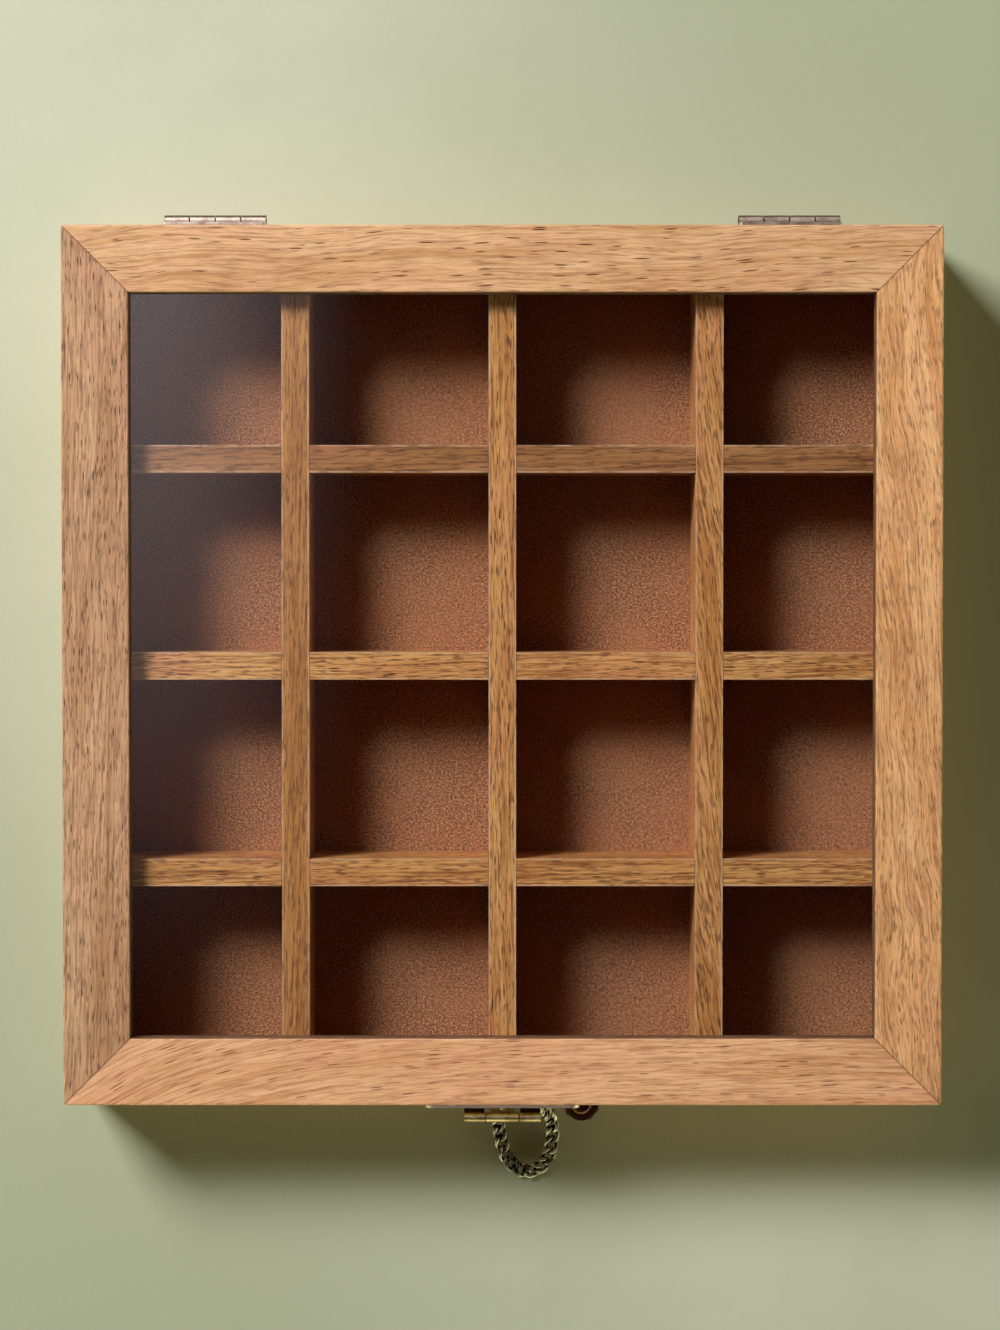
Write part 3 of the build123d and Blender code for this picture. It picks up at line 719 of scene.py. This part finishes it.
def metalMaterial(name, look, wear):
    material, tree = newMaterial(name + "_metal")
    where = millimetres(tree)
    marks = smudged(tree, where, wear["patches"], wear["grit"])
    scratches = grainNoise(tree, where, **wear["scratches"])
    colour = blendColour(tree, marks["Patches"], paint(*look["bright"]), paint(*look["dull"]))
    spots = sums(tree, "MULTIPLY", marks["Grit"], spread(tree, marks["Patches"], *wear["spotMask"]))
    colour = blendColour(tree, spots, colour, paint(*look["tarnish"]))
    # painted shade and painted highlights on the metals that have them
    if name in metalPaintedLight:
        colour = metalPaintedLight[name](tree, where, colour)
    rough = sums(tree, "MULTIPLY_ADD", marks["Grit"], wear["gritRoughness"], look["roughness"])
    height = sums(tree, "MULTIPLY_ADD", scratches, wear["scratchHeight"], marks["Grit"])
    if name in metalEdges:
        height = metalEdges[name](tree, where, height)
    surface(tree, add(tree, "BsdfPrincipled", {
        "Base Color": colour, "Metallic": 1.0,
        "Roughness": sums(tree, "MULTIPLY_ADD", scratches, wear["scratchRoughness"], rough),
        "Normal": bumps(tree, height, wear["bump"], wear["bumpDepth"]),
    }))
    return material


metals = {name: metalMaterial(name, look, wearLook) for name, look in metalLooks.items()}
for metal, names in metalPieces.items():
    for name in names:
        dress(name, metals[metal])
print("metal done:", sum(len(names) for names in metalPieces.values()), "pieces")


# Latch chain: twisted curb links from the staple plate's lug round to the locking pin.

chainLook = dict(
    links=20, wire=1.45, width=5.3, length=7.2,
    twist=45.0,         # each end of a link turns this far out of its plane
    roll=7.0,           # how unevenly the links lie
    turning=4,          # over so many links at each end the chain turns on its side
    seed=7,
    around=12, along=40, fineness=24,
)
# Where the chain lies: along X, out from the case, height. The ends are the lug's hole and
# the locking pin's shank.
chainRoute = [
    (-1.8, 2.4, 15.6),
    (-1.5, 5.8, 12.6),
    (-1.6, 10.2, 7.6),
    (-1.5, 14.4, 3.6),
    (-0.8, 17.6, 2.1),
    (0.2, 22.2, 1.75),
    (3.2, 28.4, 1.75),
    (9.2, 31.0, 1.75),
    (14.6, 28.4, 1.75),
    (17.3, 22.9, 1.75),
    (17.9, 18.3, 1.95),
    (17.5, 13.2, 4.2),
    (17.0, 10.5, 7.4),
    (15.5, 8.0, 13.4),
    (14.3, 5.4, 17.3),
    (13.6, 3.7, 21.8),
    (13.4, 2.643, 24.621),
]
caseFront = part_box("case_wall_front")[0].y


def smoothRoute(points, fineness):
    # a smooth curve through the points, read back as a fine line of places
    curve = bpy.data.curves.new("chainRoute", "CURVE")
    curve.dimensions = "3D"
    spline = curve.splines.new("BEZIER")
    spline.bezier_points.add(len(points) - 1)
    for knot, (x, outward, height) in zip(spline.bezier_points, points):
        knot.co = (x * mm, caseFront - outward * mm, height * mm)
        knot.handle_left_type = knot.handle_right_type = "AUTO"
    curve.resolution_u = fineness
    guide = addObject("chainRoute", curve)
    bpy.context.view_layer.update()
    mesh = bpy.data.meshes.new_from_object(guide)
    line = [vertex.co.copy() for vertex in mesh.vertices]
    bpy.data.meshes.remove(mesh)
    bpy.data.objects.remove(guide)
    bpy.data.curves.remove(curve)
    return line


def placeAlong(line, distance):
    for first, second in zip(line, line[1:]):
        step = (second - first).length
        if distance <= step:
            return first.lerp(second, distance / step)
        distance -= step
    return line[-1]


def linkRing(look, middle, along, level, roll):
    # one twisted link: rings of points round its bent wire
    longReach = (look["length"] - look["wire"]) / 2 * mm
    sideReach = (look["width"] - look["wire"]) / 2 * mm
    up = along.cross(level)

    def wirePlace(share):
        turn = 2 * math.pi * share
        lean = math.radians(look["twist"] * math.cos(turn) + roll)
        side = sideReach * math.sin(turn)
        place = middle + along * (longReach * math.cos(turn))
        return place + level * (side * math.cos(lean)) + up * (side * math.sin(lean))

    rings = []
    for i in range(look["along"]):
        here = wirePlace(i / look["along"])
        ahead, behind = wirePlace((i + 0.5) / look["along"]), wirePlace((i - 0.5) / look["along"])
        forward = (ahead - behind).normalized()
        outward = (here - middle).normalized()
        first = forward.cross(outward).normalized()
        second = first.cross(forward)
        ring = []
        for j in range(look["around"]):
            angle = 2 * math.pi * j / look["around"]
            radial = first * math.cos(angle) + second * math.sin(angle)
            ring.append(here + radial * (look["wire"] / 2 * mm))
        rings.append(ring)
    return rings


def addChain(look):
    line = smoothRoute(chainRoute, look["fineness"])
    total = sum((second - first).length for first, second in zip(line, line[1:]))
    bar = (look["length"] - look["wire"]) / 2 * mm
    step = (total - 2 * bar) / (look["links"] - 1)
    wobble = random.Random(look["seed"])
    points, faces = [], []
    for number in range(look["links"]):
        middle = bar + number * step
        start, end = placeAlong(line, middle - bar), placeAlong(line, middle + bar)
        along = (end - start).normalized()
        level = Vector((0, 0, 1)).cross(along).normalized()
        fromEnd = min(number, look["links"] - 1 - number)
        turned = max(0, 1 - fromEnd / look["turning"])
        roll = wobble.uniform(-look["roll"], look["roll"]) * (1 - turned) + look["twist"] * turned
        base = len(points)
        for ring in linkRing(look, (start + end) / 2, along, level, roll):
            points += ring
        for i in range(look["along"]):
            here = base + i * look["around"]
            there = base + (i + 1) % look["along"] * look["around"]
            for j in range(look["around"]):
                beside = (j + 1) % look["around"]
                faces.append((here + j, here + beside, there + beside, there + j))
    mesh = bpy.data.meshes.new("latchChainLinks")
    mesh.from_pydata(points, [], faces)
    mesh.shade_smooth()
    mesh.materials.append(metals["links"])
    chain = addObject("latchChainLinks", mesh)
    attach(chain, "case")
    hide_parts("latch_chain")
    pitch, whole = round(step / mm, 2), round(total / mm, 1)
    print("chain done:", look["links"], "links,", pitch, "mm apart along", whole, "mm")


addChain(chainLook)


# Surroundings: sage plaster under the box, one large window-like lamp, warm light from around.

floorLook = dict(
    size=9.0, drop=0.0001,          # in metres
    paler=(203, 203, 174), deeper=(196, 197, 166), shaded=(178, 181, 148),
    patches=0.009, grit=0.35,       # per millimetre
    corners=26000.0,                # in square millimetres: how far out two corners turn deeper
    fade=(700.0, 1700.0),           # in millimetres from the box, into the background's colour
    beyond=(196, 196, 166),
    roughness=0.95, shine=0.1, bump=0.12, bumpDepth=0.0003,
)


def flatSheet(name, material, left, right, front, back, height):
    mesh = bpy.data.meshes.new(name)
    corners = [(left, front), (right, front), (right, back), (left, back)]
    mesh.from_pydata([(x, y, height) for x, y in corners], [], [(0, 1, 2, 3)])
    mesh.materials.append(material)
    return addObject(name, mesh)


def plasterMaterial(look):
    material, tree = newMaterial("sage_plaster")
    where = millimetres(tree)
    marks = smudged(tree, where, look["patches"], look["grit"])
    colour = blendColour(tree, marks["Patches"], paint(*look["paler"]), paint(*look["deeper"]))
    axes = split(tree, where)
    corner = sums(tree, "DIVIDE", sums(tree, "MULTIPLY", axes[0], axes[1]), look["corners"])
    colour = blendColour(tree, spread(tree, corner, -1.0, 1.0), colour, paint(*look["shaded"]))
    plaster = add(tree, "BsdfPrincipled", {
        "Base Color": colour, "Roughness": look["roughness"], "Specular IOR Level": look["shine"],
        "Normal": bumps(tree, marks["Grit"], look["bump"], look["bumpDepth"]),
    })
    # far from the box the floor runs out into the background
    path = add(tree, "LightPath").outputs
    seen = sums(tree, "MAXIMUM", path["Is Camera Ray"], path["Is Glossy Ray"])
    seen = sums(tree, "MAXIMUM", seen, path["Is Transmission Ray"])
    away = spread(tree, measure(tree, "LENGTH", where), *look["fade"])
    beyond = add(tree, "Emission", {"Color": paint(*look["beyond"]), "Strength": 1.0})
    ground = add(tree, "MixShader", {
        0: sums(tree, "MULTIPLY", seen, away), 1: plaster.outputs[0], 2: beyond.outputs[0],
    })
    # seen from below it is clear, and so it is to the box's underside, which lies on it
    under = add(tree, "NewGeometry").outputs["Backfacing"]
    touching = sums(tree, "LESS_THAN", path["Ray Length"], look["drop"] * 4)
    clear = add(tree, "BsdfTransparent")
    surface(tree, add(tree, "MixShader", {
        0: sums(tree, "MAXIMUM", under, touching), 1: ground.outputs[0], 2: clear.outputs[0],
    }))
    return material


def addFloor(look):
    half = look["size"] / 2
    floor = flatSheet("floor", plasterMaterial(look), -half, half, -half, half, -look["drop"])


windowLook = dict(
    fromWhere=(-37.0, 36.5, 45.0),      # direction, read off the shadows
    distance=2.2, size=0.74,            # in metres
    power=18.9, beam=100.0, colour=(0.97, 1.0, 1.07),
)


def addWindow(look):
    lamp = bpy.data.lights.new("window", "AREA")
    lamp.shape = "SQUARE"
    lamp.size = look["size"]
    lamp.energy = look["power"]
    lamp.spread = math.radians(look["beam"])
    lamp.color = look["colour"]
    window = addObject("window", lamp)
    direction = Vector(look["fromWhere"]).normalized()
    window.location = direction * look["distance"]
    window.rotation_euler = direction.to_track_quat("Z", "Y").to_euler()


# A pale sheet beside the camera that only reflections see: it gives the haze on the glass.
sheetLook = dict(
    left=-0.34, right=-0.085, front=-0.30, back=0.42,   # in metres from the box's middle
    height=1.12,                                        # and above its underside
    fadeRight=(1.0, 0.35), fadeFront=(0.0, 1.1),    # across the sheet, as shares of it
    colour=(1.0, 0.84, 0.86), strength=1.9,
)


def addSheet(look):
    material, tree = newMaterial("pale_sheet")
    axes = split(tree, add(tree, "TexCoord").outputs["Generated"])
    fade = sums(tree, "MULTIPLY", spread(tree, axes[0], *look["fadeRight"]),
                spread(tree, axes[1], *look["fadeFront"]))
    shine = add(tree, "Emission", {
        "Color": (*look["colour"], 1), "Strength": sums(tree, "MULTIPLY", fade, look["strength"]),
    })
    clear = add(tree, "BsdfTransparent")
    surface(tree, add(tree, "AddShader", {0: shine.outputs[0], 1: clear.outputs[0]}))
    sheet = flatSheet("paleSheet", material, look["left"], look["right"], look["front"], look["back"],
                      look["height"])
    sheet.visible_camera = False
    sheet.visible_diffuse = False
    sheet.visible_shadow = False


roomLook = dict(
    around=(2.00, 2.12, 1.42),          # near the horizon
    overhead=(0.05, 0.45, 1.0, 0.0),    # it dies out towards straight above
    below=(-0.1, 0.0, 0.2, 1.0),        # and is weak below, where only the box's underside sees it
    brighter=(0.42, -0.72, 0.0),        # direction and amount of the brighter side
    background=(196, 196, 166),
)


def addRoom(look):
    world = bpy.data.worlds.new("room")
    world.use_nodes = True
    tree = world.node_tree
    tree.nodes.clear()
    path = add(tree, "LightPath").outputs
    towards = add(tree, "TexCoord").outputs["Generated"]
    up = split(tree, towards)[2]
    side = measure(tree, "DOT_PRODUCT", towards, look["brighter"])
    level = sums(tree, "MULTIPLY", spread(tree, up, *look["overhead"]), spread(tree, up, *look["below"]))
    strength = sums(tree, "MULTIPLY_ADD", side, level, level)
    around = add(tree, "Background", {"Color": (*look["around"], 1), "Strength": strength})
    seen = add(tree, "Background", {"Color": paint(*look["background"]), "Strength": 1.0})
    mixed = add(tree, "MixShader", {0: path["Is Camera Ray"], 1: around.outputs[0], 2: seen.outputs[0]})
    add(tree, "OutputWorld", {"Surface": mixed.outputs[0]})
    bpy.context.scene.world = world


addFloor(floorLook)
addWindow(windowLook)
addSheet(sheetLook)
addRoom(roomLook)
bpy.context.scene.view_settings.view_transform = "Standard"
print("floor and light done")
